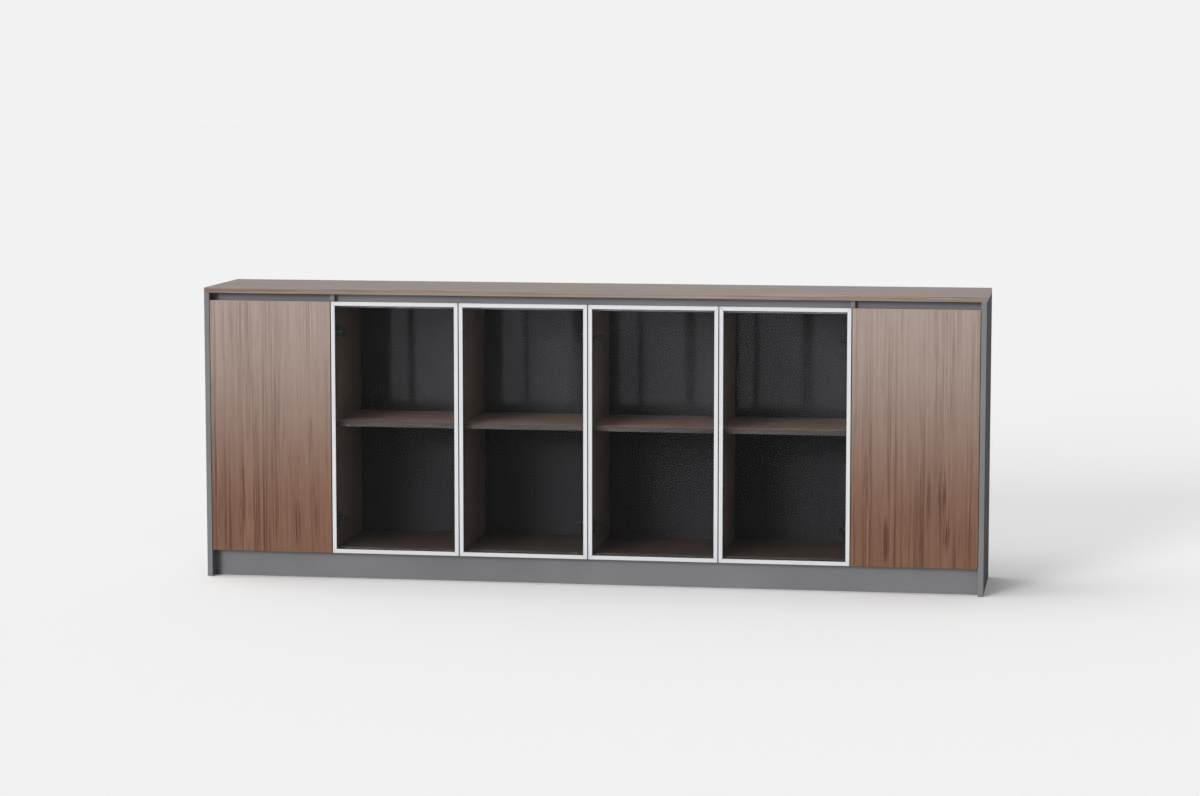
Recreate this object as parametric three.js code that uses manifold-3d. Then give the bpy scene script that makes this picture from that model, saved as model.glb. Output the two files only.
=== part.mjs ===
// Office credenza: a grey carcass with a wood top, two wood doors at the ends
// and four glass doors in slim aluminium frames between them.
// Millimetres, +Z up. The doors face -Y. The origin is on the floor, under the middle of the carcass.
import * as THREE from "three";
import { mergeVertices } from "three/addons/utils/BufferGeometryUtils.js";
import Module from "manifold-3d";

// Overall layout
const MODULE_WIDTH = 400; // from one partition's middle to the next, one door to each module
const MODULE_COUNT = 6;
const CARCASS_DEPTH = 380;
const CARCASS_HEIGHT = 900;

// Boards of the carcass
const BOARD_THICK = 16; // sides, partitions, bottom, shelves, rails and plinth
const TOP_THICK = 16;
const BACK_THICK = 6;
const BACK_INSET = 10; // the back panel lies this far inside the rear edge
const PLINTH_HEIGHT = 83;
const PLINTH_SETBACK = 40; // front and rear alike
const PARTITION_SETBACK = 24; // front edges of the partitions and bottom, behind the doors
const RAIL_SETBACK = 40;
const RAIL_HEIGHT = 43;
const SHELF_SETBACK = 44;
const SHELF_LEVEL = 488; // upper face of each shelf above the floor
const NOTCH_GAP = 0.3; // between a rail and the notch it lies in
const CUT_OVERRUN = 1; // how far a cut runs past the face it opens

// Doors
const FINGER_GAP = 23; // open height between the doors and the top
const DOOR_GAP = 3; // between two neighbouring doors
const SIDE_GAP = 2; // between an end door and its side panel
const WOOD_DOOR_THICK = 18;
const FRAME_FACE = 12; // width of an aluminium bar, seen from the front
const FRAME_DEPTH = 20;
const GLASS_THICK = 4;
const GLASS_SETBACK = 5; // glass behind the frame's front
const GLASS_INSERT = 5; // glass held inside the bars' groove
const GLASS_GAP = 0.3;
const MITRE_PULL = 0.2; // each bar stops this much short of the corner's mitre line

// Hinges
const HINGE_INSET = 100; // a hinge's middle from the door's top or bottom edge
const AXIS_INSET = 7; // turning axis from the door's hinge edge
const ARM_REACH = 17.3; // from the turning axis to the near side of the arm's finger
const ARM_WIDTH = 8;
const ARM_HEIGHT = 12;
const ARM_BRIDGE_DEPTH = 52; // front of the arm's cross piece, behind the front plane
const ARM_BRIDGE_WIDTH = 14;
const PLATE_THICK = 3;
const PLATE_FRONT = 32; // front end of the mounting plate, behind the front plane
const PLATE_LENGTH = 48;
const PLATE_HEIGHT = 40;
const HINGE_GAP = 0.3; // between hinge pieces and what they are fixed to or run in

// Round cups in the wood doors
const CUP_RADIUS = 17.2;
const CUP_DEPTH = 12;
const CUP_WALL = 1;
const CUP_EDGE = 5; // door left between the cup and the hinge edge
const CUP_FLANGE_THICK = 1;
const CUP_FLANGE_WIDTH = 2.5;
const CUP_SEGMENTS = 32;

// Sockets on the aluminium stiles, behind the glass
const SOCKET_WALL = 2;
const SOCKET_FLOOR = 1.5;
const SOCKET_ROOT = 2; // solid part between the stile and the socket's hollow
const SOCKET_LAP = 2; // how far that part runs into the stile
const SOCKET_GLASS_GAP = 1;
const SOCKET_RUN = 0.5; // room above and below the arm inside the socket

// Planes that several pieces share
const WIDTH = MODULE_WIDTH * MODULE_COUNT;
const LEFT = -WIDTH / 2;
const RIGHT = WIDTH / 2;
const FRONT = -CARCASS_DEPTH / 2;
const REAR = CARCASS_DEPTH / 2;
const TOP_UNDERSIDE = CARCASS_HEIGHT - TOP_THICK;
const INNER_LEFT = LEFT + BOARD_THICK;
const INNER_RIGHT = RIGHT - BOARD_THICK;
const BACK_FRONT = REAR - BACK_INSET - BACK_THICK;
const CARCASS_FRONT = FRONT + PARTITION_SETBACK;
const RAIL_FRONT = FRONT + RAIL_SETBACK;
const RAIL_BACK = RAIL_FRONT + BOARD_THICK;
const RAIL_BOTTOM = TOP_UNDERSIDE - RAIL_HEIGHT;
const PLINTH_FRONT = FRONT + PLINTH_SETBACK;
const PLINTH_BACK = REAR - PLINTH_SETBACK;
const FLOOR_TOP = PLINTH_HEIGHT + BOARD_THICK;
const DOOR_BOTTOM = PLINTH_HEIGHT;
const DOOR_TOP = TOP_UNDERSIDE - FINGER_GAP;
const DOOR_HEIGHT = DOOR_TOP - DOOR_BOTTOM;
const DOOR_MIDDLE = (DOOR_TOP + DOOR_BOTTOM) / 2;
const HINGE_RISE = DOOR_HEIGHT / 2 - HINGE_INSET;

// Finishes: colour, roughness, metalness
const FINISHES = {
  wood: [0x86695a, 0.5, 0],
  laminate: [0x7a7a7d, 0.6, 0],
  charcoal: [0x3a3a3c, 0.7, 0],
  aluminium: [0xdcdddf, 0.3, 1],
  glass: [0x24272a, 0.05, 0],
  steel: [0xb4b6b8, 0.35, 1],
};

const wasm = await Module();
wasm.setup();

const credenza = new THREE.Group();

function addMesh(parent, name, finish, geometry) {
  const [color, roughness, metalness] = FINISHES[finish];
  const material = new THREE.MeshStandardMaterial({ color, roughness, metalness });
  const mesh = new THREE.Mesh(geometry, material);
  mesh.name = name;
  parent.add(mesh);
  return mesh;
}

// A box whose faces lie exactly on the given pairs of planes.
function boxBetween([x0, x1], [y0, y1], [z0, z1]) {
  const geometry = new THREE.BoxGeometry(x1 - x0, y1 - y0, z1 - z0);
  const position = geometry.attributes.position;
  for (let i = 0; i < position.count; i++) {
    const x = position.getX(i) < 0 ? x0 : x1;
    const y = position.getY(i) < 0 ? y0 : y1;
    const z = position.getZ(i) < 0 ? z0 : z1;
    position.setXYZ(i, x, y, z);
  }
  return geometry;
}

function board(name, finish, xs, ys, zs) {
  return addMesh(credenza, name, finish, boxBetween(xs, ys, zs));
}

function toSolid(geometry) {
  const bare = new THREE.BufferGeometry();
  bare.setAttribute("position", geometry.attributes.position);
  bare.setIndex(geometry.index);
  const merged = mergeVertices(bare);
  return new wasm.Manifold(
    new wasm.Mesh({
      numProp: 3,
      vertProperties: merged.attributes.position.array,
      triVerts: new Uint32Array(merged.index.array),
    }),
  );
}

function toGeometry(solid) {
  const mesh = solid.getMesh();
  const geometry = new THREE.BufferGeometry();
  geometry.setAttribute("position", new THREE.BufferAttribute(mesh.vertProperties, 3));
  geometry.setIndex(new THREE.BufferAttribute(mesh.triVerts, 1));
  geometry.computeVertexNormals();
  return geometry;
}

// Middle plane of a partition, counted from 1 at the left.
function partitionX(number) {
  return LEFT + number * MODULE_WIDTH;
}

// Free width of a module between the faces of its two upright boards.
function moduleInside(number) {
  const left = number === 1 ? INNER_LEFT : partitionX(number - 1) + BOARD_THICK / 2;
  const right = number === MODULE_COUNT ? INNER_RIGHT : partitionX(number) - BOARD_THICK / 2;
  return [left, right];
}

// Carcass
const acrossInside = [INNER_LEFT, INNER_RIGHT];
const plinthLevels = [0, PLINTH_HEIGHT];
const sideLevels = [0, TOP_UNDERSIDE];
const wholeDepth = [FRONT, REAR];
const wholeWidth = [LEFT, RIGHT];
board("top_panel", "wood", wholeWidth, wholeDepth, [TOP_UNDERSIDE, CARCASS_HEIGHT]);
board("side_panel_left", "laminate", [LEFT, INNER_LEFT], wholeDepth, sideLevels);
board("side_panel_right", "laminate", [INNER_RIGHT, RIGHT], wholeDepth, sideLevels);
board("bottom_panel", "wood", acrossInside, [CARCASS_FRONT, BACK_FRONT], [PLINTH_HEIGHT, FLOOR_TOP]);
const backDepth = [BACK_FRONT, BACK_FRONT + BACK_THICK];
board("back_panel", "charcoal", acrossInside, backDepth, [PLINTH_HEIGHT, TOP_UNDERSIDE]);
board("plinth_front", "laminate", acrossInside, [PLINTH_FRONT, PLINTH_FRONT + BOARD_THICK], plinthLevels);
board("plinth_rear", "laminate", acrossInside, [PLINTH_BACK - BOARD_THICK, PLINTH_BACK], plinthLevels);
const braceX = [-BOARD_THICK / 2, BOARD_THICK / 2];
const braceDepth = [PLINTH_FRONT + BOARD_THICK, PLINTH_BACK - BOARD_THICK];
board("plinth_brace", "laminate", braceX, braceDepth, plinthLevels);

// Partitions: the first and the last stand up to the top between the rails,
// and those between them are notched for the middle rail.
const lastPartition = MODULE_COUNT - 1;
for (let number = 1; number <= lastPartition; number++) {
  const middle = partitionX(number);
  const xs = [middle - BOARD_THICK / 2, middle + BOARD_THICK / 2];
  let geometry = boxBetween(xs, [CARCASS_FRONT, BACK_FRONT], [FLOOR_TOP, TOP_UNDERSIDE]);
  if (number > 1 && number < lastPartition) {
    const notchX = [xs[0] - CUT_OVERRUN, xs[1] + CUT_OVERRUN];
    const notchY = [CARCASS_FRONT - CUT_OVERRUN, RAIL_BACK + NOTCH_GAP];
    const notchZ = [RAIL_BOTTOM - NOTCH_GAP, TOP_UNDERSIDE + CUT_OVERRUN];
    const notch = toSolid(boxBetween(notchX, notchY, notchZ));
    geometry = toGeometry(toSolid(geometry).subtract(notch));
  }
  addMesh(credenza, `partition_${number}`, "wood", geometry);
}

// Finger-pull rails behind the doors' upper edges
const railDepth = [RAIL_FRONT, RAIL_BACK];
const railLevels = [RAIL_BOTTOM, TOP_UNDERSIDE];
const middleRail = [moduleInside(2)[0], moduleInside(lastPartition)[1]];
board("finger_rail_left", "laminate", moduleInside(1), railDepth, railLevels);
board("finger_rail_middle", "laminate", middleRail, railDepth, railLevels);
board("finger_rail_right", "laminate", moduleInside(MODULE_COUNT), railDepth, railLevels);

// Shelves, one to a module
const shelfDepth = [FRONT + SHELF_SETBACK, BACK_FRONT];
const shelfLevels = [SHELF_LEVEL - BOARD_THICK, SHELF_LEVEL];
for (let number = 1; number <= MODULE_COUNT; number++) {
  board(`shelf_${number}`, "wood", moduleInside(number), shelfDepth, shelfLevels);
}

// Width of a door, from its left edge to its right edge.
function doorEdges(number) {
  const left = number === 1 ? INNER_LEFT + SIDE_GAP : partitionX(number - 1) + DOOR_GAP / 2;
  const right = number === MODULE_COUNT ? INNER_RIGHT - SIDE_GAP : partitionX(number) - DOOR_GAP / 2;
  return [left, right];
}

// Hinge arm, fixed to an upright's face. Lengths inward run along the door from its hinge edge,
// turned to the left or the right by side, and depths run back from the front plane.
function hingeArm(name, side, edge, face, fingerFront, level) {
  const x = (inward) => edge + side * inward;
  const y = (depth) => FRONT + depth;
  const plateFoot = face + side * HINGE_GAP;
  const plateTop = plateFoot + side * PLATE_THICK;
  const fingerNear = AXIS_INSET + ARM_REACH;
  const fingerFar = fingerNear + ARM_WIDTH;
  const bridgeBack = ARM_BRIDGE_DEPTH + ARM_BRIDGE_WIDTH;
  const outline = new THREE.Shape([
    new THREE.Vector2(plateFoot, y(ARM_BRIDGE_DEPTH)),
    new THREE.Vector2(x(fingerNear), y(ARM_BRIDGE_DEPTH)),
    new THREE.Vector2(x(fingerNear), y(fingerFront)),
    new THREE.Vector2(x(fingerFar), y(fingerFront)),
    new THREE.Vector2(x(fingerFar), y(bridgeBack)),
    new THREE.Vector2(plateFoot, y(bridgeBack)),
  ]);
  const arm = new THREE.ExtrudeGeometry(outline, { depth: ARM_HEIGHT, bevelEnabled: false });
  arm.translate(0, 0, level - ARM_HEIGHT / 2);
  const plateX = [Math.min(plateFoot, plateTop), Math.max(plateFoot, plateTop)];
  const plateY = [y(PLATE_FRONT), y(PLATE_FRONT + PLATE_LENGTH)];
  const plateZ = [level - PLATE_HEIGHT / 2, level + PLATE_HEIGHT / 2];
  const joined = toSolid(arm).add(toSolid(boxBetween(plateX, plateY, plateZ)));
  addMesh(credenza, name, "steel", toGeometry(joined));
}

// Round cup with a flange, open towards +Y in its own frame, where y = 0 is the door's rear face.
function cupGeometry() {
  const inside = CUP_RADIUS - CUP_WALL;
  const rim = CUP_RADIUS + CUP_FLANGE_WIDTH;
  const flangeFoot = HINGE_GAP;
  const flangeTop = HINGE_GAP + CUP_FLANGE_THICK;
  const profile = [
    new THREE.Vector2(0, -CUP_DEPTH),
    new THREE.Vector2(CUP_RADIUS, -CUP_DEPTH),
    new THREE.Vector2(CUP_RADIUS, flangeFoot),
    new THREE.Vector2(rim, flangeFoot),
    new THREE.Vector2(rim, flangeTop),
    new THREE.Vector2(inside, flangeTop),
    new THREE.Vector2(inside, CUP_WALL - CUP_DEPTH),
    new THREE.Vector2(0, CUP_WALL - CUP_DEPTH),
  ];
  return new THREE.LatheGeometry(profile, CUP_SEGMENTS);
}

// Wood door: a slab with two blind bores, and a cup in each bore.
function woodDoor(number, side) {
  const [left, right] = doorEdges(number);
  const edge = side > 0 ? left : right;
  const rear = FRONT + WOOD_DOOR_THICK;
  const cupX = edge + side * (CUP_EDGE + CUP_RADIUS);
  const boreRadius = CUP_RADIUS + HINGE_GAP;
  const boreLength = CUP_DEPTH + HINGE_GAP + CUT_OVERRUN;
  const boreMiddle = rear + CUT_OVERRUN - boreLength / 2;
  let slab = toSolid(boxBetween([left, right], [FRONT, rear], [DOOR_BOTTOM, DOOR_TOP]));
  for (const [place, level] of hingeLevels()) {
    const bore = new THREE.CylinderGeometry(boreRadius, boreRadius, boreLength, CUP_SEGMENTS);
    bore.translate(cupX, boreMiddle, level);
    slab = slab.subtract(toSolid(bore));
    const cup = addMesh(credenza, `door_${number}_hinge_cup_${place}`, "steel", cupGeometry());
    cup.position.set(cupX, rear, level);
  }
  addMesh(credenza, `door_${number}_panel`, "wood", toGeometry(slab));
  const fingerFront = WOOD_DOOR_THICK - CUP_DEPTH + CUP_WALL + HINGE_GAP;
  addHingeArms(number, side, edge, fingerFront);
}

function hingeLevels() {
  return [
    ["upper", DOOR_MIDDLE + HINGE_RISE],
    ["lower", DOOR_MIDDLE - HINGE_RISE],
  ];
}

function addHingeArms(number, side, edge, fingerFront) {
  const [leftFace, rightFace] = moduleInside(number);
  const face = side > 0 ? leftFace : rightFace;
  for (const [place, level] of hingeLevels()) {
    hingeArm(`door_${number}_hinge_arm_${place}`, side, edge, face, fingerFront, level);
  }
}

// Aluminium bar with a groove for the glass and mitred ends, along Z about its middle:
// x runs inward from the frame's outer edge and y runs back from its front.
function frameBar(length) {
  const grooveFoot = FRAME_FACE - GLASS_INSERT - GLASS_GAP;
  const grooveFront = GLASS_SETBACK - GLASS_GAP;
  const grooveBack = GLASS_SETBACK + GLASS_THICK + GLASS_GAP;
  const section = new THREE.Shape([
    new THREE.Vector2(0, 0),
    new THREE.Vector2(FRAME_FACE, 0),
    new THREE.Vector2(FRAME_FACE, grooveFront),
    new THREE.Vector2(grooveFoot, grooveFront),
    new THREE.Vector2(grooveFoot, grooveBack),
    new THREE.Vector2(FRAME_FACE, grooveBack),
    new THREE.Vector2(FRAME_FACE, FRAME_DEPTH),
    new THREE.Vector2(0, FRAME_DEPTH),
  ]);
  const bar = new THREE.ExtrudeGeometry(section, { depth: length, bevelEnabled: false });
  bar.translate(0, 0, -length / 2);
  const position = bar.attributes.position;
  for (let i = 0; i < position.count; i++) {
    const reach = length / 2 - position.getX(i) - MITRE_PULL;
    position.setZ(i, Math.sign(position.getZ(i)) * reach);
  }
  return bar;
}

// Depth of the floor of a stile's hinge socket, behind the frame's front.
function socketFloor() {
  return GLASS_SETBACK + GLASS_THICK + SOCKET_GLASS_GAP + SOCKET_FLOOR;
}

// Stile on the hinge side: a bar with two open sockets for the hinge arms' fingers.
function hingeStile(length) {
  const fingerFar = AXIS_INSET + ARM_REACH + ARM_WIDTH;
  const hollowX = [FRAME_FACE + SOCKET_ROOT, fingerFar + HINGE_GAP];
  const hollowY = [socketFloor(), FRAME_DEPTH + CUT_OVERRUN];
  const hollowHalf = ARM_HEIGHT / 2 + SOCKET_RUN;
  const blockX = [FRAME_FACE - SOCKET_LAP, hollowX[1] + SOCKET_WALL];
  const blockY = [socketFloor() - SOCKET_FLOOR, FRAME_DEPTH];
  const blockHalf = hollowHalf + SOCKET_WALL;
  let stile = toSolid(frameBar(length));
  for (const middle of [-HINGE_RISE, HINGE_RISE]) {
    const block = boxBetween(blockX, blockY, [middle - blockHalf, middle + blockHalf]);
    const hollow = boxBetween(hollowX, hollowY, [middle - hollowHalf, middle + hollowHalf]);
    stile = stile.add(toSolid(block)).subtract(toSolid(hollow));
  }
  return toGeometry(stile);
}

// Glass door: four bars round a pane. Each bar is turned about Y to its edge of the frame.
function glassDoor(number, side) {
  const [left, right] = doorEdges(number);
  const width = right - left;
  const middle = (left + right) / 2;
  const door = new THREE.Group();
  door.position.set(middle, FRONT, DOOR_MIDDLE);
  credenza.add(door);
  const stile = (hinged) => (hinged ? hingeStile(DOOR_HEIGHT) : frameBar(DOOR_HEIGHT));
  const bars = [
    ["left", stile(side > 0), -width / 2, 0, 0],
    ["right", stile(side < 0), width / 2, 0, Math.PI],
    ["top", frameBar(width), 0, DOOR_HEIGHT / 2, Math.PI / 2],
    ["bottom", frameBar(width), 0, -DOOR_HEIGHT / 2, -Math.PI / 2],
  ];
  for (const [place, geometry, x, z, turn] of bars) {
    const bar = addMesh(door, `door_${number}_frame_${place}`, "aluminium", geometry);
    bar.position.set(x, 0, z);
    bar.rotation.y = turn;
  }
  const hidden = FRAME_FACE - GLASS_INSERT;
  const paneWidth = width - 2 * hidden;
  const paneHeight = DOOR_HEIGHT - 2 * hidden;
  const pane = new THREE.BoxGeometry(paneWidth, GLASS_THICK, paneHeight);
  const glass = addMesh(door, `door_${number}_glass`, "glass", pane);
  glass.position.y = GLASS_SETBACK + GLASS_THICK / 2;
  const edge = side > 0 ? left : right;
  addHingeArms(number, side, edge, socketFloor() + HINGE_GAP);
}

// Doors, from left to right: a side of 1 is hinged on the left edge and -1 on the right edge.
// The glass doors open in pairs from the middle of each pair.
const HINGED_LEFT = 1;
const HINGED_RIGHT = -1;
woodDoor(1, HINGED_LEFT);
for (let number = 2; number < MODULE_COUNT; number++) {
  glassDoor(number, number % 2 === 0 ? HINGED_LEFT : HINGED_RIGHT);
}
woodDoor(MODULE_COUNT, HINGED_RIGHT);

export default credenza;
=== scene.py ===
import math

import bmesh
import bpy
from mathutils import Matrix, Vector


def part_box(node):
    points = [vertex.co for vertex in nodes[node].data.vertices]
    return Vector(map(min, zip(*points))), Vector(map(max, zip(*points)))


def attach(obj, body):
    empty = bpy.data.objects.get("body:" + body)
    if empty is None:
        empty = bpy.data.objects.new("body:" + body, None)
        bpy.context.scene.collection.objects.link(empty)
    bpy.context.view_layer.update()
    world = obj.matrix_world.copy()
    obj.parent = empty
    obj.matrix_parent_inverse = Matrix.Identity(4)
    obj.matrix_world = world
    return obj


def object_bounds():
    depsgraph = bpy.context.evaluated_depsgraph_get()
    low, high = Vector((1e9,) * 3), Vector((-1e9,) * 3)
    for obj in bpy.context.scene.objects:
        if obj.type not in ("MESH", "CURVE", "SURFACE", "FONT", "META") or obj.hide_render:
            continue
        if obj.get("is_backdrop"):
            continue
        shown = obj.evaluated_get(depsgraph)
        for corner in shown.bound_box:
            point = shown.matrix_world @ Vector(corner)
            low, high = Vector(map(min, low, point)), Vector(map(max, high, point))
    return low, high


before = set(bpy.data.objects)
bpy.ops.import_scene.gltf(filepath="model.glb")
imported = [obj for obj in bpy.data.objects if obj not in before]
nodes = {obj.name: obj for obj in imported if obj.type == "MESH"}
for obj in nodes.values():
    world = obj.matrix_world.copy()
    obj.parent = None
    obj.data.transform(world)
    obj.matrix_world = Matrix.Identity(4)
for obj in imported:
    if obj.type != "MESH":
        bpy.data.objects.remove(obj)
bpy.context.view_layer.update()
scene = bpy.context.scene
scene.view_settings.view_transform = "Standard"

# Doors, shelves and walls, counted from the left
DOORS = range(1, 7)
WOOD_DOORS = (1, 6)
GLASS_DOORS = (2, 3, 4, 5)
HINGED_LEFT = (1, 2, 4)
SHELVES = range(1, 7)
PARTITIONS = [f"partition_{number}" for number in range(1, 6)]
WALLS = ["side_panel_left", *PARTITIONS, "side_panel_right"]

# Places taken from the solids, in metres
BAYS = [(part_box(left)[1].x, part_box(right)[0].x) for left, right in zip(WALLS, WALLS[1:])]
BAR_LOW, BAR_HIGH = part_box("door_2_frame_top")
FRAME_FACE = BAR_HIGH.z - BAR_LOW.z
GLASS_FRONT, GLASS_REAR = (corner.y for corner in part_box("door_2_glass"))
PARTITION_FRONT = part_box("partition_1")[0].y
BACK_FRONT, BACK_REAR = (corner.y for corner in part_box("back_panel"))


def srgb(red, green, blue):
    """Colour as it is seen, 0 to 255, to the linear values that nodes take, by the sRGB curve."""
    def linear(value):
        value /= 255.0
        return value / 12.92 if value <= 0.04045 else ((value + 0.055) / 1.055) ** 2.4
    return (linear(red), linear(green), linear(blue), 1.0)


def scaled(colour, factor):
    return tuple(min(1.0, value * factor) for value in colour[:3]) + (1.0,)


# Most noise lies in this span, and much of it in the narrower one
NOISE_LOW, NOISE_MIDDLE, NOISE_HIGH = 0.3, 0.5, 0.7
TONE_LOW, TONE_HIGH = 0.35, 0.65
# Between these a face turns from looking across an axis to looking along it
FACING_LOW, FACING_HIGH = 0.4, 0.6

# Places of the colour sockets on a Mix node, which share their names with others
MIX_SHARE, MIX_FIRST, MIX_SECOND, MIX_RESULT = 0, 6, 7, 2


class Nodes:
    """Short calls that add nodes to a tree and link them."""

    def __init__(self, tree):
        self.tree = tree
        self.tree.nodes.clear()

    def new(self, kind):
        return self.tree.nodes.new(kind)

    def link(self, source, target):
        self.tree.links.new(source, target)

    def put(self, value, socket):
        """Sets a socket to a number or colour, or links it."""
        if isinstance(value, bpy.types.NodeSocket):
            self.link(value, socket)
        else:
            socket.default_value = value

    def place(self, kind="Object"):
        return self.new("ShaderNodeTexCoord").outputs[kind]

    def stretch(self, vector, scale, shift=(0.0, 0.0, 0.0)):
        node = self.new("ShaderNodeMapping")
        node.inputs["Scale"].default_value = scale
        node.inputs["Location"].default_value = shift
        self.link(vector, node.inputs["Vector"])
        return node.outputs[0]

    def split(self, vector):
        node = self.new("ShaderNodeSeparateXYZ")
        self.link(vector, node.inputs[0])
        return node.outputs

    def join(self, x, y, z):
        node = self.new("ShaderNodeCombineXYZ")
        for value, socket in zip((x, y, z), node.inputs):
            self.put(value, socket)
        return node.outputs[0]

    def noise(self, vector, detail=2.0, rough=0.5, scale=1.0):
        node = self.new("ShaderNodeTexNoise")
        node.inputs["Scale"].default_value = scale
        node.inputs["Detail"].default_value = detail
        node.inputs["Roughness"].default_value = rough
        self.link(vector, node.inputs["Vector"])
        return node.outputs["Fac"]

    def math(self, kind, a, b=0.0, c=0.0):
        node = self.new("ShaderNodeMath")
        node.operation = kind
        for value, socket in zip((a, b, c), node.inputs):
            self.put(value, socket)
        return node.outputs[0]

    def blend(self, first, second, share):
        """Two noises in one, the first with the given share."""
        return self.math("MULTIPLY_ADD", first, share, self.math("MULTIPLY", second, 1.0 - share))

    def span(self, value, low, high, to_low=0.0, to_high=1.0, curve="SMOOTHSTEP"):
        """A value's span, clamped, drawn onto another span."""
        node = self.new("ShaderNodeMapRange")
        node.interpolation_type = curve
        ends = {"From Min": low, "From Max": high, "To Min": to_low, "To Max": to_high}
        for name, number in ends.items():
            node.inputs[name].default_value = number
        self.link(value, node.inputs["Value"])
        return node.outputs[0]

    def ramp(self, value, stops):
        node = self.new("ShaderNodeValToRGB")
        line = node.color_ramp
        while len(line.elements) < len(stops):
            line.elements.new(0.5)
        for element, (at, colour) in zip(line.elements, stops):
            element.position = at
            element.color = colour
        self.link(value, node.inputs[0])
        return node.outputs[0]

    def mix(self, share, first, second):
        node = self.new("ShaderNodeMix")
        node.data_type = "RGBA"
        self.put(share, node.inputs[MIX_SHARE])
        self.put(first, node.inputs[MIX_FIRST])
        self.put(second, node.inputs[MIX_SECOND])
        return node.outputs[MIX_RESULT]

    def mix_shaders(self, share, first, second):
        node = self.new("ShaderNodeMixShader")
        for source, socket in zip((share, first, second), node.inputs):
            self.link(source, socket)
        return node.outputs[0]

    def seen(self):
        """1 for what the camera sees, by itself or in metal and glass, and 0 for light on its way."""
        rays = self.new("ShaderNodeLightPath").outputs
        mirrored = self.math("MAXIMUM", rays["Is Camera Ray"], rays["Is Glossy Ray"])
        return self.math("MAXIMUM", mirrored, rays["Is Transmission Ray"])


class Shader(Nodes):
    """A material with a Principled node."""

    SOCKETS = {
        "color": "Base Color", "rough": "Roughness", "metal": "Metallic", "ior": "IOR",
        "glass": "Transmission Weight", "specular": "Specular IOR Level",
    }

    def __init__(self, name):
        self.material = bpy.data.materials.new(name)
        self.material.use_nodes = True
        super().__init__(self.material.node_tree)
        self.output = self.new("ShaderNodeOutputMaterial")
        self.surface = self.new("ShaderNodeBsdfPrincipled")
        self.link(self.surface.outputs[0], self.output.inputs["Surface"])

    def set(self, **values):
        for key, value in values.items():
            self.put(value, self.surface.inputs[self.SOCKETS[key]])

    def roughen(self, noise, low, high):
        """Roughness that follows a noise, between two values."""
        self.set(rough=self.span(noise, NOISE_LOW, NOISE_HIGH, low, high))

    def bump(self, height, distance, strength):
        node = self.new("ShaderNodeBump")
        node.inputs["Strength"].default_value = strength
        node.inputs["Distance"].default_value = distance
        self.link(height, node.inputs["Height"])
        self.link(node.outputs[0], self.surface.inputs["Normal"])

    def facing(self, axis):
        """How squarely a face looks along an axis, either way."""
        return self.math("ABSOLUTE", self.split(self.place("Normal"))["XYZ".index(axis)])


# Grain of the wood decor. A layer is its repeats in a metre across the grain and along it, and the
# detail and roughness of its noise.
BEND_LAYER = (4.0, 0.9, 2.0, 0.5)
BEND_SIZE = 0.016
GRAIN_LAYERS = {
    "slow": (14.0, 0.3, 2.0, 0.5),
    "calm": (26.0, 1.2, 2.0, 0.5),
    "vein": (80.0, 1.8, 1.5, 0.5),
    "streak": (110.0, 0.7, 4.0, 0.76),
    "dash": (210.0, 7.0, 2.0, 0.6),
    "fibre": (620.0, 5.0, 2.0, 0.6),
    "pore": (1500.0, 26.0, 1.0, 0.5),
}
TONE_SHARES = {"slow": 0.10, "streak": 0.56, "dash": 0.22, "fibre": 0.12}
TONE_MIDDLE = 0.543
CALM_LOW, CALM_HIGH = 0.32, 0.68
LEAST_CONTRAST, MOST_CONTRAST = 0.5, 1.25
CONTRAST_DARKENS = 0.05
VEIN_HALF = 0.018
VEIN_DEPTH = 0.45
VEINS_LOW, VEINS_HIGH = 0.4, 0.6
LEAST_VEINS = 0.15
PORE_LOW, PORE_HIGH = 0.60, 0.74
PORE_DEPTH = 0.22
PORE_SINK = 0.4
DARK_SHARE = 0.72
WOOD_ROUGH_LOW, WOOD_ROUGH_HIGH = 0.40, 0.54
WORN_WOOD = srgb(206, 192, 180)

# Knots: the grain bulges round each one and gathers in dark strokes
KNOT_BULGE = 0.4
STROKE_LAYER = (260.0, 6.0, 3.0, 0.65)
STROKE_LOW, STROKE_HIGH = 0.48, 0.60
LEAST_STROKE = 0.04

# Painted sheen: doors turn paler upwards, from one height to another, and their veins grow faint under it
SHEEN_LOW, SHEEN_HIGH = 0.15, 0.91
SHEEN_MOST = 0.77
VEINS_UNDER_SHEEN = 0.25


def grain_axes(shader, along):
    """Places across, into and along the grain. On end faces the grain turns along the edge."""
    x, y, z = shader.split(shader.place())
    across, deep, length = (x, y, z) if along == "Z" else (y, z, x)
    end = shader.span(shader.facing(along), FACING_LOW, FACING_HIGH)
    straight = shader.join(across, deep, length)
    turned_round = shader.join(length, deep, across)
    return shader.split(shader.mix(end, straight, turned_round))


def grain_layer(shader, place, layer):
    across, along, detail, rough = layer
    return shader.noise(shader.stretch(place, (across, across, along)), detail, rough)


def knot(shader, spot):
    """How dark a knot is at each point, and how far the grain bulges there."""
    at_x, at_z, half_x, half_z, depth = spot
    x, _, z = shader.split(shader.place())
    off_x = shader.math("SUBTRACT", x, at_x)
    off_z = shader.math("SUBTRACT", z, at_z)
    far_x = shader.math("POWER", shader.math("DIVIDE", off_x, half_x), 2.0)
    far_z = shader.math("POWER", shader.math("DIVIDE", off_z, half_z), 2.0)
    near = shader.span(shader.math("ADD", far_x, far_z), 0.0, 1.0, 1.0, 0.0)
    bulge = shader.math("MULTIPLY", off_x, shader.math("MULTIPLY", near, KNOT_BULGE))
    return shader.math("MULTIPLY", near, depth), bulge


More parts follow.
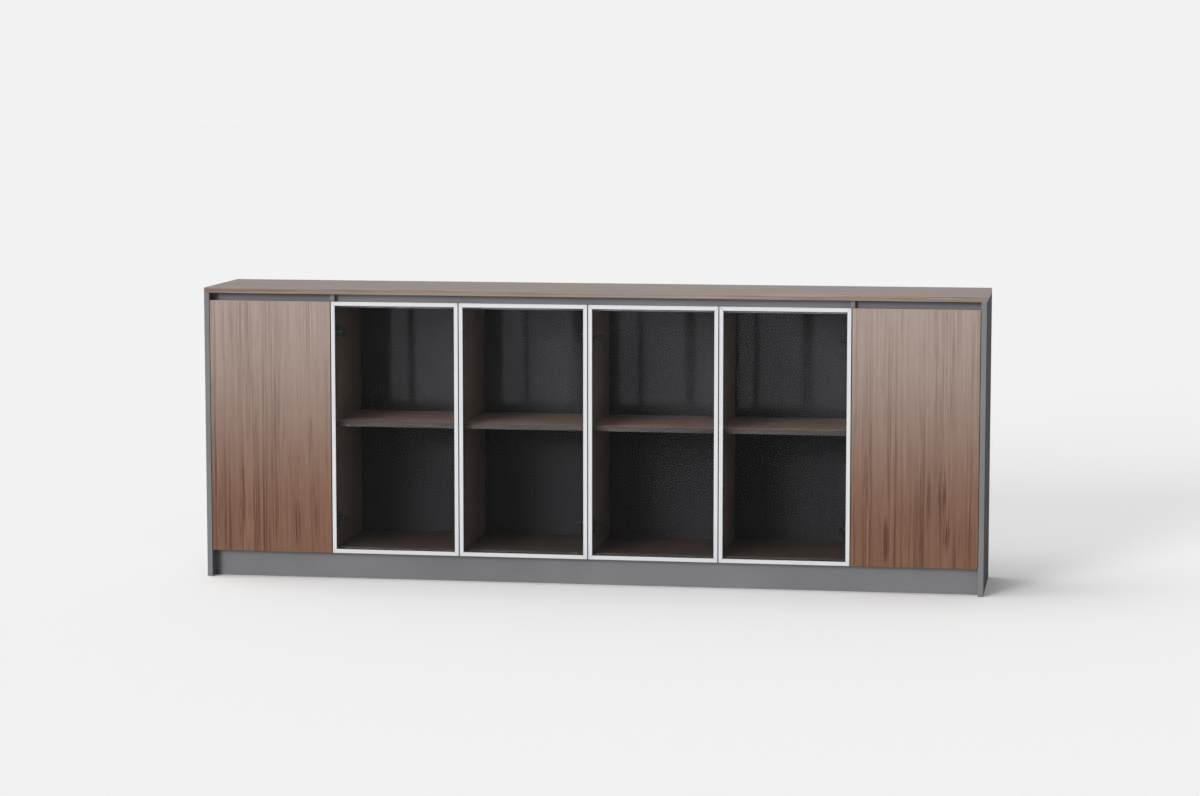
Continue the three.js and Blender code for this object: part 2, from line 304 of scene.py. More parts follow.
def bent_grain(shader, along, shift, knots):
    """Places in grain that wavers and bulges round the knots, and how dark each knot is there."""
    across, deep, length = grain_axes(shader, along)
    shades = []
    for spot in knots:
        shade, bulge = knot(shader, spot)
        across = shader.math("SUBTRACT", across, bulge)
        shades.append(shade)
    grain = shader.stretch(shader.join(across, deep, length), (1.0, 1.0, 1.0), shift)
    across, deep, length = shader.split(grain)
    bend = grain_layer(shader, grain, BEND_LAYER)
    across = shader.math("MULTIPLY_ADD", bend, BEND_SIZE, across)
    return shader.join(across, deep, length), shades


def grain_tone(shader, layers):
    """The layers' sum, with more contrast in some stretches than in others."""
    tone = 0.0
    for kind, share in TONE_SHARES.items():
        tone = shader.math("MULTIPLY_ADD", layers[kind], share, tone)
    contrast = shader.span(layers["calm"], CALM_LOW, CALM_HIGH, LEAST_CONTRAST, MOST_CONTRAST)
    ground = shader.math("MULTIPLY_ADD", contrast, -CONTRAST_DARKENS, TONE_MIDDLE)
    return shader.math("MULTIPLY_ADD", shader.math("SUBTRACT", tone, NOISE_MIDDLE), contrast, ground)


def grain_veins(shader, layers):
    """Thin lines where the vein noise crosses its middle, fainter in some stretches."""
    off = shader.math("ABSOLUTE", shader.math("SUBTRACT", layers["vein"], NOISE_MIDDLE))
    veins = shader.span(off, 0.0, VEIN_HALF, VEIN_DEPTH, 0.0)
    strength = shader.span(layers["slow"], VEINS_LOW, VEINS_HIGH, LEAST_VEINS, 1.0)
    return shader.math("MULTIPLY", veins, strength)


# Wood decor with straight grain along Z or X: slow bands, crisp streaks, thin dark veins and fine
# pores. The shift picks a stretch of the noise. Pale tones are a painted sheen that the colour turns
# to upwards, and a band is the tones of the board's narrow edges.
def wood(name, along, tones, shift, knots=(), pale=None, band=None, worn=0.0, gloss=0.5):
    shader = Shader(name)
    grain, knot_shades = bent_grain(shader, along, shift, knots)
    layers = {kind: grain_layer(shader, grain, layer) for kind, layer in GRAIN_LAYERS.items()}
    tone = grain_tone(shader, layers)
    veins = grain_veins(shader, layers)
    colour = shader.ramp(tone, tones)
    dark = scaled(tones[0][1], DARK_SHARE)
    # Painted sheen: paler tones and fainter veins towards the top
    if pale:
        height = shader.split(shader.place())[2]
        sheen_share = shader.span(height, SHEEN_LOW, SHEEN_HIGH, 0.0, SHEEN_MOST)
        colour = shader.mix(sheen_share, colour, shader.ramp(tone, pale))
        faint = shader.span(height, SHEEN_LOW, SHEEN_HIGH, 1.0, VEINS_UNDER_SHEEN)
        veins = shader.math("MULTIPLY", veins, faint)
    colour = shader.mix(veins, colour, dark)
    if band:
        broad_face = shader.facing("Z" if along == "X" else "X")
        edge = shader.span(broad_face, FACING_LOW, FACING_HIGH, 1.0, 0.0)
        colour = shader.mix(edge, colour, shader.ramp(tone, band))
    if knots:
        stroke = grain_layer(shader, grain, STROKE_LAYER)
        stroke = shader.span(stroke, STROKE_LOW, STROKE_HIGH, LEAST_STROKE, 1.0)
        for shade in knot_shades:
            colour = shader.mix(shader.math("MULTIPLY", shade, stroke), colour, dark)
    pores = shader.span(layers["pore"], PORE_LOW, PORE_HIGH, 0.0, PORE_DEPTH)
    colour = shader.mix(pores, colour, dark)
    if worn:
        colour = shader.mix(worn, colour, WORN_WOOD)
    shader.set(color=colour, specular=gloss)
    shader.roughen(layers["fibre"], WOOD_ROUGH_LOW, WOOD_ROUGH_HIGH)
    relief = shader.math("MULTIPLY_ADD", layers["pore"], -PORE_SINK, layers["fibre"])
    shader.bump(relief, distance=0.00012, strength=0.5)
    return shader.material


SPECKLE_SCALE = 1400.0
SPECKLE_SHARE = 0.5
DRIFT_SCALE = 3.0
PEARL_SCALE = 700.0
MOTTLE_DARK, MOTTLE_LIGHT = 0.88, 1.12
BOARD_SMOOTHER, BOARD_ROUGHER = 0.05, 0.06


# Plain board face: one colour with a fine speckle, a slow drift and a slightly pearled surface. The
# face to the rear can have a colour of its own.
def plain_board(name, colour, rough=0.5, lift=0.0, gloss=0.4, rear=None):
    shader = Shader(name)
    place = shader.place()
    speckle = shader.noise(place, scale=SPECKLE_SCALE)
    drift = shader.noise(place, detail=3.0, scale=DRIFT_SCALE)
    tone = shader.blend(speckle, drift, SPECKLE_SHARE)

    def mottled(plain):
        dark = scaled(plain, MOTTLE_DARK)
        middle = scaled(plain, 1.0 + lift / 2)
        light = scaled(plain, MOTTLE_LIGHT + lift)
        return shader.ramp(tone, ((TONE_LOW, dark), (NOISE_MIDDLE, middle), (TONE_HIGH, light)))

    face = mottled(colour)
    if rear:
        rearwards = shader.split(shader.place("Normal"))[1]
        behind = shader.span(rearwards, FACING_LOW, FACING_HIGH)
        face = shader.mix(behind, face, mottled(rear))
    shader.set(color=face, specular=gloss)
    shader.roughen(drift, rough - BOARD_SMOOTHER, rough + BOARD_ROUGHER)
    shader.bump(shader.noise(place, scale=PEARL_SCALE), distance=0.00008, strength=0.35)
    return shader.material


LINES_ACROSS = 2600.0
LINES_ALONG = 7.0
LINE_SHARE = 0.7
LINE_DARK = 0.9
LINE_SMOOTHER, LINE_ROUGHER = 0.06, 0.08
CLOUD_SCALE = 9.0
SOCKET_COLOUR = srgb(46, 46, 48)
SOCKET_BLEND = 0.0004


# Anodised aluminium with fine lines along the bar. On a bar that carries hinge sockets, what
# stands further in than the bar's own face is dark.
def brushed(name, along, colour, rough=0.3, socket=None):
    shader = Shader(name)
    place = shader.place()
    scale = [LINES_ALONG if axis == along else LINES_ACROSS for axis in "XYZ"]
    line = shader.noise(shader.stretch(place, scale), detail=3.0, rough=0.6)
    cloud = shader.noise(place, scale=CLOUD_SCALE)
    tone = shader.blend(line, cloud, LINE_SHARE)
    face = shader.ramp(tone, ((NOISE_LOW, scaled(colour, LINE_DARK)), (NOISE_HIGH, colour)))
    if socket:
        edge, inward = socket
        past = shader.math("MULTIPLY", shader.math("SUBTRACT", shader.split(place)[0], edge), inward)
        face = shader.mix(shader.span(past, 0.0, SOCKET_BLEND), face, SOCKET_COLOUR)
    shader.set(color=face, metal=1.0)
    shader.roughen(line, rough - LINE_SMOOTHER, rough + LINE_ROUGHER)
    shader.bump(line, distance=0.00003, strength=0.3)
    return shader.material


PLATING_SCALE = 240.0
PLATING_DARK = 0.8
PLATING_SMOOTHER, PLATING_ROUGHER = 0.05, 0.1


# Plated metal with a faint cloud in it
def plated(name, colour, rough):
    shader = Shader(name)
    cloud = shader.noise(shader.place(), detail=3.0, scale=PLATING_SCALE)
    face = shader.ramp(cloud, ((TONE_LOW, scaled(colour, PLATING_DARK)), (TONE_HIGH, colour)))
    shader.set(color=face, metal=1.0)
    shader.roughen(cloud, rough - PLATING_SMOOTHER, rough + PLATING_ROUGHER)
    shader.bump(cloud, distance=0.00003, strength=0.3)
    return shader.material


RUBBER_SCALE = 1800.0
RUBBER_LIGHT = 1.6
RUBBER_ROUGH_LOW, RUBBER_ROUGH_HIGH = 0.55, 0.75


# Rubber with a fine grain
def rubber(name, colour):
    shader = Shader(name)
    grain = shader.noise(shader.place(), scale=RUBBER_SCALE)
    face = shader.ramp(grain, ((TONE_LOW, colour), (NOISE_HIGH, scaled(colour, RUBBER_LIGHT))))
    shader.set(color=face)
    shader.roughen(grain, RUBBER_ROUGH_LOW, RUBBER_ROUGH_HIGH)
    shader.bump(grain, distance=0.00005, strength=0.4)
    return shader.material


GLASS_TINT = (0.74, 0.745, 0.75, 1.0)
GLASS_IOR = 1.13
SMEAR_SCALE = (3.0, 3.0, 5.0)
SMEAR_LOW, SMEAR_HIGH = 0.45, 0.75
SMEAR_ROUGH = 0.02


# Grey tinted glass with faint smears. Lamps shine through it onto what stands behind.
def tinted_glass(name):
    shader = Shader(name)
    smear = shader.noise(shader.stretch(shader.place(), SMEAR_SCALE), detail=4.0, rough=0.6)
    shader.set(color=GLASS_TINT, glass=1.0, ior=GLASS_IOR)
    shader.set(rough=shader.span(smear, SMEAR_LOW, SMEAR_HIGH, 0.0, SMEAR_ROUGH))
    clear = shader.new("ShaderNodeBsdfTransparent")
    clear.inputs[0].default_value = tuple(math.sqrt(value) for value in GLASS_TINT)
    shadow = shader.new("ShaderNodeLightPath").outputs["Is Shadow Ray"]
    both = shader.mix_shaders(shadow, shader.surface.outputs[0], clear.outputs[0])
    shader.link(both, shader.output.inputs["Surface"])
    return shader.material


TONE_PLACES = (0.40, 0.47, 0.53, 0.60)


def tone_stops(*colours):
    """Ramp stops from dark to light, round the middle of the grain's values."""
    return tuple(zip(TONE_PLACES, (srgb(*colour) for colour in colours)))


# Colours
DOOR_TONES = tone_stops((88, 56, 42), (111, 79, 61), (123, 89, 71), (134, 100, 82))
# Painted sheen: the pale tones that the doors turn to upwards
SHEEN_TONES = tone_stops((156, 139, 131), (170, 155, 147), (178, 164, 156), (184, 170, 162))
TOP_TONES = tone_stops((92, 77, 70), (108, 92, 85), (118, 103, 96), (132, 117, 109))
BAND_TONES = tone_stops((118, 101, 89), (137, 120, 108), (148, 132, 121), (161, 146, 135))
# Painted shade: the partitions are a darker copy of the shelf wood, for the shade inside the cabinet
SHADED_UPRIGHT_TONES = tone_stops((88, 72, 64), (106, 90, 81), (117, 102, 93), (130, 116, 108))
SHELF_TONES = tone_stops((109, 86, 73), (130, 107, 94), (143, 121, 108), (160, 139, 127))
# Painted shade: the bottom is a darker copy of the shelf wood, for the shade low in the cabinet
SHADED_LOW_TONES = tone_stops((58, 46, 40), (73, 59, 53), (82, 67, 60), (93, 80, 72))
# Painted shade: the shelves' lips and the boards' edges are a dark copy of the shelf wood, for the shade on
# them
SHADED_LIP_TONES = tone_stops((50, 44, 41), (58, 51, 48), (63, 56, 52), (69, 62, 58))
GREY_TONES = tone_stops((124, 122, 122), (130, 128, 128), (134, 132, 132), (140, 138, 138))
LAMINATE = srgb(127, 127, 130)
RAIL = srgb(128, 128, 132)
# Painted shade: the back panel's inner face is darker than its rear face, for the shade inside the cabinet
SHADED_BACK_COLOUR = srgb(45, 45, 47)
BACK_REAR_COLOUR = srgb(72, 72, 75)
ALUMINIUM = srgb(241, 242, 245)
ALUMINIUM_EDGE = srgb(246, 247, 250)
EDGE_ROUGH = 0.24
NICKEL = srgb(88, 88, 92)
NICKEL_EDGE = srgb(118, 118, 122)
ZINC = srgb(168, 169, 172)
BLACK_RUBBER = srgb(24, 24, 26)
GREY_RUBBER = srgb(150, 150, 152)

# Knots of the two wood doors: place across and up, half width, half height and depth
LEFT_KNOTS = (
    (-1.088, 0.205, 0.015, 0.085, 1.0), (-1.084, 0.31, 0.014, 0.13, 0.7),
    (-0.912, 0.17, 0.016, 0.10, 0.9), (-0.922, 0.33, 0.009, 0.10, 0.8),
    (-0.867, 0.43, 0.012, 0.10, 0.6), (-0.856, 0.22, 0.020, 0.13, 0.5),
)
RIGHT_KNOTS = (
    (1.076, 0.30, 0.018, 0.11, 0.9), (1.088, 0.185, 0.014, 0.07, 1.0),
    (0.905, 0.15, 0.014, 0.10, 1.0), (0.850, 0.33, 0.018, 0.14, 0.6),
    (1.035, 0.28, 0.012, 0.12, 0.6), (0.962, 0.20, 0.016, 0.11, 0.5),
)

# Stretches of the noise, one for each set of boards
LEFT_SHIFT = (1.7, 0.4, 2.3)
RIGHT_SHIFT = (6.4, 1.5, 3.8)
DOOR_EDGE_SHIFT = (0.3, 0.0, 0.7)
TOP_SHIFT = (9.0, 3.0, 1.7)
UPRIGHT_SHIFT = (2.0, 4.0, 8.0)
SHELF_SHIFT = (7.0, 1.0, 5.0)

# Materials
door_wood = {
    1: wood("wood_door_left", "Z", DOOR_TONES, LEFT_SHIFT, LEFT_KNOTS, SHEEN_TONES, gloss=0.35),
    6: wood("wood_door_right", "Z", DOOR_TONES, RIGHT_SHIFT, RIGHT_KNOTS, SHEEN_TONES, gloss=0.35),
}
door_wood_edge = wood("wood_door_edge", "Z", DOOR_TONES, DOOR_EDGE_SHIFT, pale=SHEEN_TONES, worn=0.12)
top_wood = wood("wood_top", "X", TOP_TONES, TOP_SHIFT, band=BAND_TONES, gloss=0.35)
top_wood_edge = wood("wood_top_edge", "X", BAND_TONES, TOP_SHIFT, worn=0.12, gloss=0.35)
# Painted shade: partitions, bottom and the boards' front edges take darker copies of the shelf wood
shaded_upright = wood("wood_partition", "Z", SHADED_UPRIGHT_TONES, UPRIGHT_SHIFT, band=GREY_TONES)
inner_flat = wood("wood_shelf", "X", SHELF_TONES, SHELF_SHIFT, band=SHADED_LIP_TONES)
shaded_floor = wood("wood_bottom", "X", SHADED_LOW_TONES, SHELF_SHIFT, band=SHADED_LIP_TONES)
shaded_board_edge = wood("wood_board_edge", "X", SHADED_LIP_TONES, SHELF_SHIFT, worn=0.08)
laminate = plain_board("grey_laminate", LAMINATE, rough=0.65, gloss=0.0)
laminate_edge = plain_board("grey_laminate_edge", LAMINATE, rough=0.55, lift=0.14, gloss=0.06)
rail_face = plain_board("grey_rail", RAIL, rough=0.5, gloss=0.3)
rail_edge = plain_board("grey_rail_edge", RAIL, rough=0.45, lift=0.14)
# Painted shade on the back panel's inner face
charcoal = plain_board("charcoal_back", SHADED_BACK_COLOUR, rough=0.75, gloss=0.12, rear=BACK_REAR_COLOUR)
charcoal_edge = plain_board(
    "charcoal_back_edge", SHADED_BACK_COLOUR, rough=0.65, lift=0.2, gloss=0.2, rear=BACK_REAR_COLOUR)
alu_upright = brushed("aluminium_upright", "Z", ALUMINIUM)
alu_level = brushed("aluminium_level", "X", ALUMINIUM)
alu_edge = plated("aluminium_edge", ALUMINIUM_EDGE, EDGE_ROUGH)
glass = tinted_glass("tinted_glass")
nickel = plated("black_nickel", NICKEL, rough=0.3)
nickel_edge = plated("black_nickel_edge", NICKEL_EDGE, EDGE_ROUGH)
zinc = plated("zinc_screw", ZINC, rough=0.32)
black_rubber = rubber("black_rubber", BLACK_RUBBER)
grey_bumper = rubber("grey_bumper", GREY_RUBBER)

# Rounding of the solids' edges, in metres
BOARD_EDGE = 0.0008
BAR_EDGE = 0.0006
HINGE_EDGE = 0.0005
CUP_EDGE = HINGE_EDGE / 2
EDGE_SEGMENTS = 2
WELD_DISTANCE = 0.00001
FLAT_ANGLE = math.radians(0.5)
SHARP_ANGLE = math.radians(40.0)


# Each solid gets its face and edge materials and a small rounding of its edges
def dress(node, face, edge, radius):
    solid = nodes[node]
    solid.data.materials.clear()
    solid.data.materials.append(face)
    solid.data.materials.append(edge)
    weld = solid.modifiers.new("weld", "WELD")
    weld.merge_threshold = WELD_DISTANCE
    flat = solid.modifiers.new("flat", "DECIMATE")
    flat.decimate_type = "DISSOLVE"
    flat.angle_limit = FLAT_ANGLE
    bevel = solid.modifiers.new("edges", "BEVEL")
    bevel.width = radius
    bevel.segments = EDGE_SEGMENTS
    bevel.limit_method = "ANGLE"
    bevel.angle_limit = SHARP_ANGLE
    bevel.material = 1
    bevel.harden_normals = True


def opening(number):
    """Left, right, low and high edge of the opening in a glass door's frame."""
    low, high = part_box(f"door_{number}_frame_top")
    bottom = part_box(f"door_{number}_frame_bottom")[0]
    return low.x + FRAME_FACE, high.x - FRAME_FACE, bottom.z + FRAME_FACE, high.z - FRAME_FACE


def dress_glass_door(number):
    left, right, _, _ = opening(number)
    hinge_side = "left" if number in HINGED_LEFT else "right"
    socket = (left, 1.0) if hinge_side == "left" else (right, -1.0)
    hinge_bar = brushed(f"aluminium_hinge_bar_{number}", "Z", ALUMINIUM, socket=socket)
    hinge_bar_edge = brushed(f"aluminium_hinge_edge_{number}", "Z", ALUMINIUM_EDGE, EDGE_ROUGH, socket)
    for side in ("left", "right"):
        if side == hinge_side:
            dress(f"door_{number}_frame_{side}", hinge_bar, hinge_bar_edge, BAR_EDGE)
        else:
            dress(f"door_{number}_frame_{side}", alu_upright, alu_edge, BAR_EDGE)
    for side in ("top", "bottom"):
        dress(f"door_{number}_frame_{side}", alu_level, alu_edge, BAR_EDGE)
    dress(f"door_{number}_glass", glass, glass, BAR_EDGE)


dress("top_panel", top_wood, top_wood_edge, BOARD_EDGE)
for node in ("side_panel_left", "side_panel_right", "plinth_front", "plinth_rear", "plinth_brace"):
    dress(node, laminate, laminate_edge, BOARD_EDGE)
for node in ("finger_rail_left", "finger_rail_middle", "finger_rail_right"):
    dress(node, rail_face, rail_edge, BOARD_EDGE)
dress("back_panel", charcoal, charcoal_edge, BOARD_EDGE)
dress("bottom_panel", shaded_floor, shaded_board_edge, BOARD_EDGE)
for number in SHELVES:
    dress(f"shelf_{number}", inner_flat, shaded_board_edge, BOARD_EDGE)
for node in PARTITIONS:
    dress(node, shaded_upright, shaded_board_edge, BOARD_EDGE)
for number in WOOD_DOORS:
    dress(f"door_{number}_panel", door_wood[number], door_wood_edge, BOARD_EDGE)
    for level in ("upper", "lower"):
        dress(f"door_{number}_hinge_cup_{level}", nickel, nickel_edge, CUP_EDGE)
for number in GLASS_DOORS:
    dress_glass_door(number)
for number in DOORS:
    for level in ("upper", "lower"):
        dress(f"door_{number}_hinge_arm_{level}", nickel, nickel_edge, HINGE_EDGE)


def new_piece(name, form, material, body, smooth=30.0):
    """A piece of the scene that rides on a body. Edges sharper than the smooth angle stay sharp."""
    mesh = bpy.data.meshes.new(name)
    bmesh.ops.recalc_face_normals(form, faces=form.faces)
    form.to_mesh(mesh)
    form.free()
    mesh.shade_smooth()
    mesh.set_sharp_from_angle(angle=math.radians(smooth))
    piece = bpy.data.objects.new(name, mesh)
    scene.collection.objects.link(piece)
    piece.data.materials.append(material)
    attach(piece, body)


# Black glazing beads round each pane, one on its front and one behind it. Each profile row is a
# step in from the bar and a rise from the pane.
FRONT_BEAD = ((0.0, 0.0001), (0.0, 0.0016), (0.0005, 0.0016), (0.0012, 0.0010), (0.0017, 0.0001))
REAR_BEAD = ((0.0, 0.0001), (0.0, 0.0008), (0.0006, 0.0008), (0.0013, 0.0005), (0.0018, 0.0001))


def bead(form, edges, pane, out, profile):
    left, right, low, high = edges
    rows = []
    for step, rise in profile:
        y = pane + out * rise
        corners = ((left + step, low + step), (right - step, low + step),
                   (right - step, high - step), (left + step, high - step))
        rows.append([form.verts.new((x, y, z)) for x, z in corners])
    for row, after in zip(rows, rows[1:] + rows[:1]):
        for corner in range(4):
            then = (corner + 1) % 4
            form.faces.new((row[corner], row[then], after[then], after[corner]))


for number in GLASS_DOORS:
    form = bmesh.new()
    bead(form, opening(number), GLASS_FRONT, -1.0, FRONT_BEAD)
    bead(form, opening(number), GLASS_REAR, 1.0, REAR_BEAD)
    new_piece(f"door_{number}_glazing_bead", form, black_rubber, f"door_{number}")


# A turned form: each profile row is a radius and a height along the axis
def turned(form, at, axis, profile, sides):
    turn = Vector((0.0, 0.0, 1.0)).rotation_difference(Vector(axis)).to_matrix().to_4x4()
    stand = Matrix.Translation(at) @ turn
    angles = [2.0 * math.pi * side / sides for side in range(sides)]
    rows = []
    for radius, height in profile:
        if radius == 0.0:
            points = [(0.0, 0.0, height)]
        else:
            points = [(radius * math.cos(angle), radius * math.sin(angle), height) for angle in angles]
        rows.append([form.verts.new(stand @ Vector(point)) for point in points])
    for row, after in zip(rows, rows[1:]):
        for side in range(sides):
            then = (side + 1) % sides
            if len(row) == 1:
                form.faces.new((row[0], after[side], after[then]))
            elif len(after) == 1:
                form.faces.new((row[side], row[then], after[0]))
            else:
                form.faces.new((row[side], row[then], after[then], after[side]))
    return stand


# A screw head with a cross cut into it. Its measures are shares of its radius and height.
SCREW_SIDES = 20
SHOULDER_HEIGHT = 0.35
RIM_RADIUS = 0.86
RIM_HEIGHT = 0.8
CROSS_HALF = 0.16
CROSS_REACH = 0.62
CROSS_DEPTH = 0.55
CROSS_TAPER = 0.9


def screw(form, at, axis, radius, height):
    half = radius * CROSS_HALF
    reach = radius * CROSS_REACH
    floor_height = height - height * CROSS_DEPTH
    profile = ((0.0, 0.0), (radius, 0.0), (radius, height * SHOULDER_HEIGHT),
               (radius * RIM_RADIUS, height * RIM_HEIGHT))
    stand = turned(form, at, axis, profile, SCREW_SIDES)
    rim = list(form.verts)[-SCREW_SIDES:]
    cross = []
    for quarter in range(4):
        out = Matrix.Rotation(math.radians(90.0 * quarter), 2)
        cross += [out @ Vector(point) for point in ((reach, -half), (reach, half), (half, half))]
    upper = [form.verts.new(stand @ Vector((x, y, height))) for x, y in cross]
    lower = [form.verts.new(stand @ Vector((x * CROSS_TAPER, y * CROSS_TAPER, floor_height)))
             for x, y in cross]
    for index in range(len(cross)):
        then = (index + 1) % len(cross)
        form.faces.new((upper[index], upper[then], lower[then], lower[index]))
    form.faces.new(lower)
    loops = [edge for loop in (rim, upper) for edge in form.edges
             if edge.verts[0] in loop and edge.verts[1] in loop]
    bmesh.ops.bridge_loops(form, edges=loops)


# Two screws on each hinge plate, which is the rear part of the hinge arm
PLATE_THICK = 0.003
PLATE_HALF_LENGTH = 0.021
PLATE_SCREW_OFFSET = 0.0135
PLATE_SCREW_RADIUS = 0.0036
PLATE_SCREW_HEIGHT = 0.0014
for number in DOORS:
    inward = 1.0 if number in HINGED_LEFT else -1.0
    form = bmesh.new()
    for level in ("upper", "lower"):
        low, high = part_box(f"door_{number}_hinge_arm_{level}")
        plate_face = (low.x if number in HINGED_LEFT else high.x) + inward * PLATE_THICK
        plate_middle = high.y - PLATE_HALF_LENGTH
        for off in (-PLATE_SCREW_OFFSET, PLATE_SCREW_OFFSET):
            at = (plate_face, plate_middle, (low.z + high.z) / 2 + off)
            screw(form, at, (inward, 0.0, 0.0), PLATE_SCREW_RADIUS, PLATE_SCREW_HEIGHT)
    new_piece(f"door_{number}_hinge_screws", form, zinc, "carcass")

# Four pins under each shelf
PIN_RADIUS = 0.0025
PIN_CLEARANCE = 0.00005
PIN_INSET = 0.045
PIN_SIDES = 16
PIN_PROFILE = ((0.0, 0.0), (PIN_RADIUS, 0.0), (PIN_RADIUS, 0.0068), (0.0021, 0.0076),
               (0.0012, 0.0080), (0.0, 0.0080))
for number, bay in zip(SHELVES, BAYS):
    low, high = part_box(f"shelf_{number}")
    pin_level = low.z - PIN_RADIUS - PIN_CLEARANCE
    form = bmesh.new()
    for wall, inward in zip(bay, (1.0, -1.0)):
        for y in (low.y + PIN_INSET, high.y - PIN_INSET):
            turned(form, (wall, y, pin_level), (inward, 0.0, 0.0), PIN_PROFILE, PIN_SIDES)
    new_piece(f"shelf_{number}_pins", form, zinc, "carcass")

# Soft bumpers on the partition edges, behind the free side of each door
BUMPER_INSET = 0.0033
BUMPER_GAP = 0.0005
BUMPER_LEVELS = (0.81, 0.13)
BUMPER_SIDES = 16
BUMPER_SMOOTH = 50.0
BUMPER_RADIUS = 0.0030
# Each row is a radius and a share of the bumper's height
BUMPER_PROFILE = ((0.0, 0.0), (BUMPER_RADIUS, 0.0), (BUMPER_RADIUS, 0.45), (0.0026, 0.75),
                  (0.0016, 0.94), (0.0, 1.0))
for number in DOORS:
    low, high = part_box(f"door_{number}_panel" if number in WOOD_DOORS else f"door_{number}_frame_top")
    free_side = high.x - BUMPER_INSET if number in HINGED_LEFT else low.x + BUMPER_INSET
    rise = PARTITION_FRONT - high.y - BUMPER_GAP
    dome = [(radius, rise * share) for radius, share in BUMPER_PROFILE]
    form = bmesh.new()
    for level in BUMPER_LEVELS:
        turned(form, (free_side, PARTITION_FRONT, level), (0.0, -1.0, 0.0), dome, BUMPER_SIDES)
    new_piece(f"door_{number}_bumpers", form, grey_bumper, "carcass", smooth=BUMPER_SMOOTH)

# Screws that hold the back panel to the partitions and the bottom panel
BACK_SCREW_LEVELS = (0.15, 0.34, 0.53, 0.72, 0.86)
BACK_SCREW_RADIUS = 0.0040
BACK_SCREW_HEIGHT = 0.0018
bottom_low, bottom_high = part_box("bottom_panel")
back_screws = []
for node in PARTITIONS:
    low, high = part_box(node)
    back_screws += [((low.x + high.x) / 2, level) for level in BACK_SCREW_LEVELS]
for left, right in BAYS:
    back_screws.append(((left + right) / 2, (bottom_low.z + bottom_high.z) / 2))
form = bmesh.new()
for x, z in back_screws:
    screw(form, (x, BACK_REAR, z), (0.0, 1.0, 0.0), BACK_SCREW_RADIUS, BACK_SCREW_HEIGHT)
new_piece("back_panel_screws", form, zinc, "carcass")

# Camera, fitted to the edges of the carcass in the photo. Angles are in degrees, and sensor and lens
# in millimetres.
CAMERA_PLACE = Vector((1.5721, -9.5793, 1.6095))
CAMERA_PITCH = 6.183
CAMERA_TURN = 9.279
SENSOR_WIDTH = 36.0
LENS = 94.68
CLIP_NEAR, CLIP_FAR = 0.05, 500.0
camera = bpy.data.objects.new("camera", bpy.data.cameras.new("camera"))
scene.collection.objects.link(camera)
camera.location = CAMERA_PLACE
camera.rotation_euler = (math.radians(90.0 - CAMERA_PITCH), 0.0, math.radians(CAMERA_TURN))
camera.data.sensor_fit = "HORIZONTAL"
camera.data.sensor_width = SENSOR_WIDTH
camera.data.lens = LENS
camera.data.clip_start = CLIP_NEAR
camera.data.clip_end = CLIP_FAR
scene.camera = camera

# Floor: white where it is seen, and less bright in the light that it throws back
FLOOR_HALF = 60.0
FLOOR_DROP = 0.0005
FLOOR_COLOUR = (0.94, 0.94, 0.94, 1.0)
FLOOR_BOUNCE = (0.50, 0.50, 0.50, 1.0)
floor_mesh = bpy.data.meshes.new("floor")
form = bmesh.new()
for side_x, side_y in ((-1, -1), (1, -1), (1, 1), (-1, 1)):
    form.verts.new((side_x * FLOOR_HALF, side_y * FLOOR_HALF, -FLOOR_DROP))
form.faces.new(form.verts)
form.to_mesh(floor_mesh)
form.free()
floor = bpy.data.objects.new("floor", floor_mesh)
scene.collection.objects.link(floor)
floor_shader = Shader("pale_floor")
floor_colour = floor_shader.mix(floor_shader.seen(), FLOOR_BOUNCE, FLOOR_COLOUR)
floor_shader.set(color=floor_colour, rough=0.9, specular=0.0)
floor.data.materials.append(floor_shader.material)
floor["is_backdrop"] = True

# World: soft light, stronger from the left, and beyond the floor a white as bright as the lit floor
WHITE = (1.0, 1.0, 1.0, 1.0)
WORLD_SEEN = 0.892
WORLD_LEFT, WORLD_RIGHT = 0.7875, 0.1125
world = bpy.data.worlds.new("studio")
scene.world = world
world.use_nodes = True
sky = Nodes(world.node_tree)
light_part = sky.new("ShaderNodeBackground")
seen_part = sky.new("ShaderNodeBackground")
sideways = sky.split(sky.place("Generated"))[0]
sky.put(WHITE, light_part.inputs["Color"])
sky.put(sky.span(sideways, -1.0, 1.0, WORLD_LEFT, WORLD_RIGHT, "LINEAR"), light_part.inputs["Strength"])
sky.put(WHITE, seen_part.inputs["Color"])
sky.put(WORLD_SEEN, seen_part.inputs["Strength"])
both_parts = sky.mix_shaders(sky.seen(), light_part.outputs[0], seen_part.outputs[0])
sky.link(both_parts, sky.new("ShaderNodeOutputWorld").inputs["Surface"])


def add_lamp(name, kind):
    lamp = bpy.data.lights.new(name, kind)
    holder = bpy.data.objects.new(name, lamp)
    scene.collection.objects.link(holder)
    return lamp, holder


def sun(name, energy, spread, towards, glints):
    lamp, holder = add_lamp(name, "SUN")
    lamp.energy = energy
    lamp.angle = math.radians(spread)
    holder.rotation_euler = Vector(towards).to_track_quat("-Z", "Y").to_euler()
    holder.visible_glossy = glints


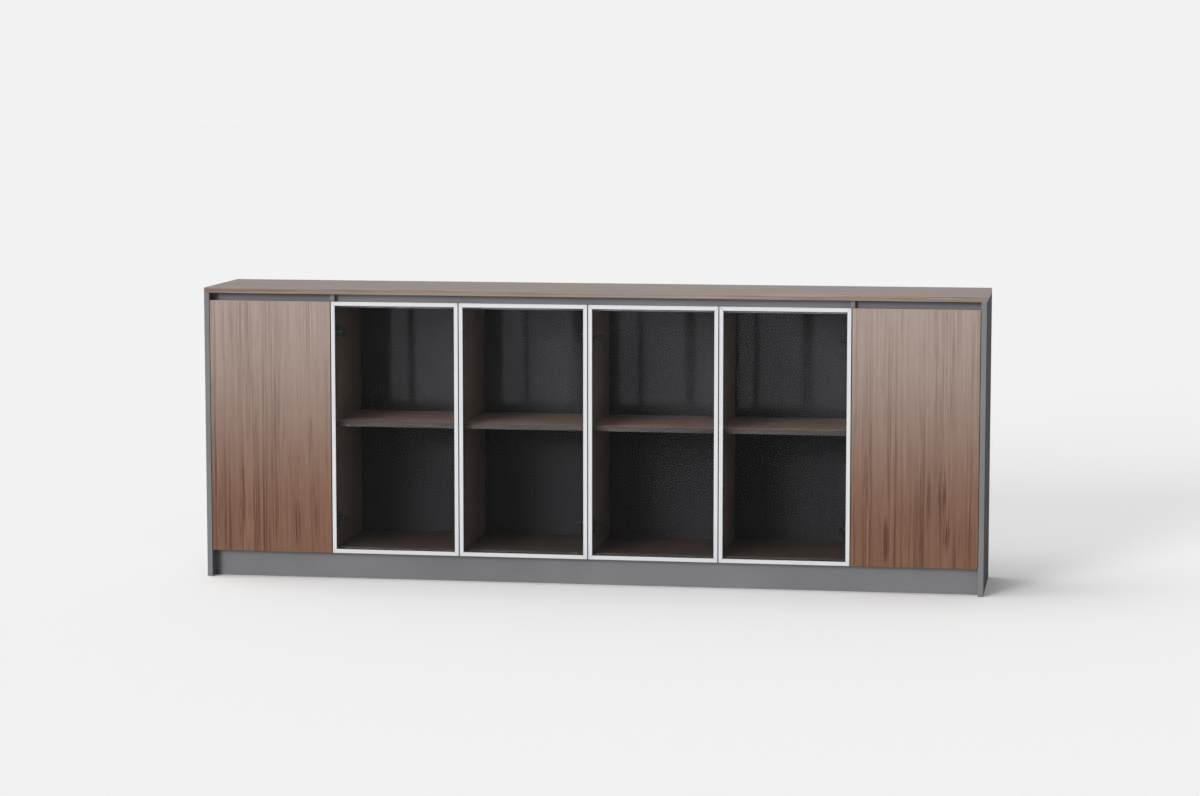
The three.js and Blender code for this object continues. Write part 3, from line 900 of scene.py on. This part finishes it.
# A low soft key from the front left reaches under the top, and a wide one from above lights the floor
sun("key", energy=1.85, spread=20.0, towards=(0.42, 0.89, -0.25), glints=False)
sun("overhead", energy=1.17, spread=60.0, towards=(0.30, 0.10, -0.95), glints=True)

# Narrow soft lights in front shine straight through the panes onto the upper half of the back panel.
# Each column of light is given by its span on the pane as the camera sees it, from 0 to 1, and its
# level. A span that ends past 1 runs on behind the bar.
BEAM_FROM = -1.1
BEAM_SPREAD = math.radians(1.2)
BEAM_SPANS = {
    2: ((0.47, 0.61, 1.1), (0.67, 1.08, 0.95)),
    3: ((0.33, 0.51, 1.1), (0.55, 0.91, 0.95)),
    4: ((0.22, 0.38, 1.1), (0.42, 0.76, 1.0), (0.85, 1.08, 0.95)),
    5: ((0.11, 0.25, 1.1), (0.29, 0.635, 1.0), (0.73, 1.08, 0.9)),
}
BEAM_FOOT = 0.52
BEAM_CLEARANCE = 0.006
# Watts for each square metre of a beam at level 1
BEAM_POWER = math.pi


def on_back_panel(x):
    """Where the camera sees a place on the panes against the back panel."""
    reach = (BACK_FRONT - CAMERA_PLACE.y) / (GLASS_FRONT - CAMERA_PLACE.y)
    return CAMERA_PLACE.x + reach * (x - CAMERA_PLACE.x)


for number, spans in BEAM_SPANS.items():
    pane_left, pane_right, _, pane_high = opening(number)
    head = pane_high - BEAM_CLEARANCE
    for index, (start, end, level) in enumerate(spans):
        left, right = (on_back_panel(pane_left + (pane_right - pane_left) * share) for share in (start, end))
        left = max(left, pane_left + BEAM_CLEARANCE)
        lamp, holder = add_lamp(f"beam_{number}_{index}", "AREA")
        lamp.shape = "RECTANGLE"
        lamp.size = right - left
        lamp.size_y = head - BEAM_FOOT
        lamp.spread = BEAM_SPREAD
        lamp.energy = BEAM_POWER * lamp.size * lamp.size_y * level
        holder.location = ((left + right) / 2, BEAM_FROM, (BEAM_FOOT + head) / 2)
        holder.rotation_euler = (math.radians(90.0), 0.0, 0.0)
        holder.visible_camera = False
        holder.visible_glossy = False

low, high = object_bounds()
